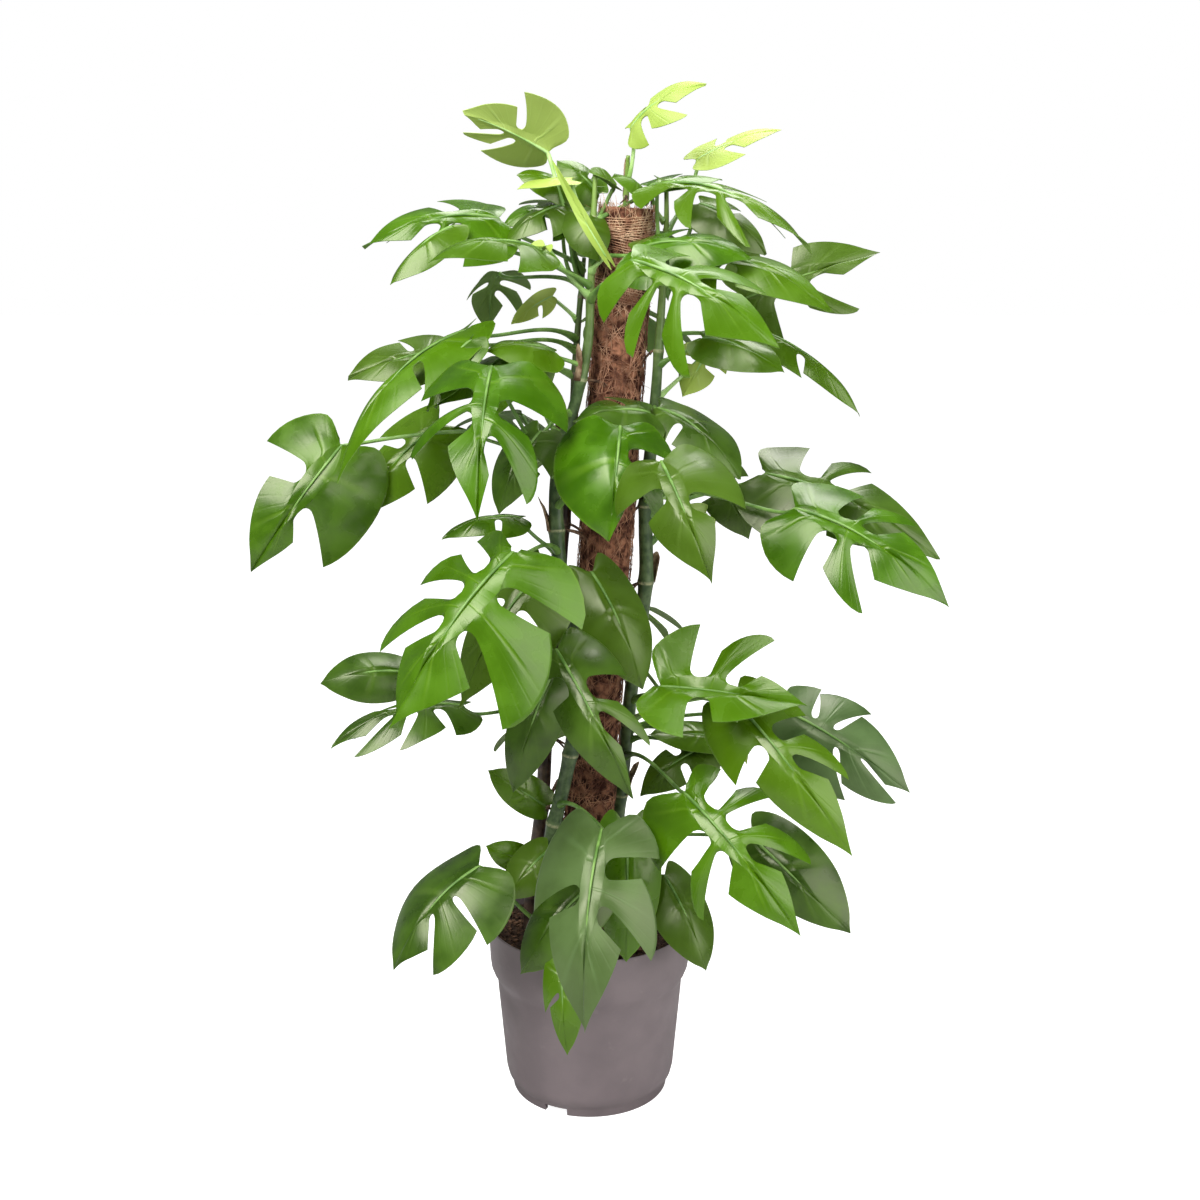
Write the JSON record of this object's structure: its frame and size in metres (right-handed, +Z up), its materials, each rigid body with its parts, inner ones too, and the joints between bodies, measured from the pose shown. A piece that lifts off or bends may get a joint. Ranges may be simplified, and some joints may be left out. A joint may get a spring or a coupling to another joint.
{
  "type": "potted mini monstera plant on a climbing pole",
  "caption": "Climbing house plant with split leaves on several vines, tied to a leaning coir pole and rooted in a round plastic nursery pot.",
  "frame": {"origin": "on the pot's axis, at the surface the pot stands on", "axes": "+Z up along the pot's axis and the plant's height, -Y the plant's front, +X to its right as seen from the front"},
  "size_m": [0.6, 0.4467, 0.9132],
  "materials": {
    "pot": "matte moulded plastic, warm grey",
    "soil": "damp peat with coir crumbs",
    "coir": "loose coconut fibre, matte",
    "stake_wood": "plain turned softwood",
    "stem": "satin green bark with paler rings",
    "leaf_young": "thin new leaf, pale lime, satin",
    "leaf_bright": "fresh glossy leaf",
    "leaf_mid": "satin leaf",
    "leaf_deep": "older leaf, half matte, dark green"
  },
  "bodies": {
    "root": {"pot": "pot", "soil": "soil", "pole_coir": "coir", "pole_core": "stake_wood", "stem_front": "stem", "stem_right": "stem", "stem_back": "stem", "stem_left": "stem", "leaf_crown_8": "leaf_young", "leaf_crown_5": "leaf_bright", "leaf_crown_1": "leaf_young", "leaf_upper_left_2": "leaf_mid", "leaf_upper_right_1": "leaf_bright", "leaf_shoulder_left_2": "leaf_mid", "leaf_heart_1": "leaf_deep", "leaf_shoulder_left_1": "leaf_bright", "leaf_heart_3": "leaf_bright", "leaf_mid_left_1": "leaf_bright", "leaf_heart_5": "leaf_deep", "leaf_mid_left_2": "leaf_deep", "leaf_mid_left_6": "leaf_deep", "leaf_mid_left_3": "leaf_deep", "leaf_low_front_1": "leaf_mid", "leaf_low_left_3": "leaf_deep", "leaf_low_left_1": "leaf_deep", "leaf_low_front_2": "leaf_mid", "leaf_crown_3": "leaf_young", "leaf_upper_right_2": "leaf_mid", "leaf_crown_4": "leaf_mid", "leaf_upper_right_4": "leaf_mid", "leaf_upper_right_5": "leaf_mid", "leaf_heart_2": "leaf_deep", "leaf_heart_4": "leaf_deep", "leaf_mid_right_1": "leaf_bright", "leaf_mid_right_2": "leaf_deep", "leaf_mid_right_3": "leaf_deep", "leaf_low_right_1": "leaf_bright", "leaf_low_right_2": "leaf_mid", "leaf_low_right_3": "leaf_deep", "leaf_low_right_4": "leaf_bright", "leaf_low_right_5": "leaf_deep", "leaf_low_right_6": "leaf_deep", "leaf_crown_2": "leaf_young", "leaf_crown_7": "leaf_mid", "leaf_crown_6": "leaf_deep", "leaf_upper_right_3": "leaf_deep", "leaf_back_1": "leaf_mid", "leaf_back_2": "leaf_deep", "leaf_back_3": "leaf_mid", "leaf_back_4": "leaf_deep", "leaf_upper_left_1": "leaf_bright", "leaf_upper_left_3": "leaf_mid", "leaf_shoulder_left_4": "leaf_bright", "leaf_shoulder_left_3": "leaf_deep", "leaf_shoulder_left_5": "leaf_mid", "leaf_shoulder_left_7": "leaf_deep", "leaf_shoulder_left_6": "leaf_mid", "leaf_mid_left_4": "leaf_deep", "leaf_mid_left_5": "leaf_deep", "leaf_low_left_2": "leaf_mid"}
  },
  "joints": []
}
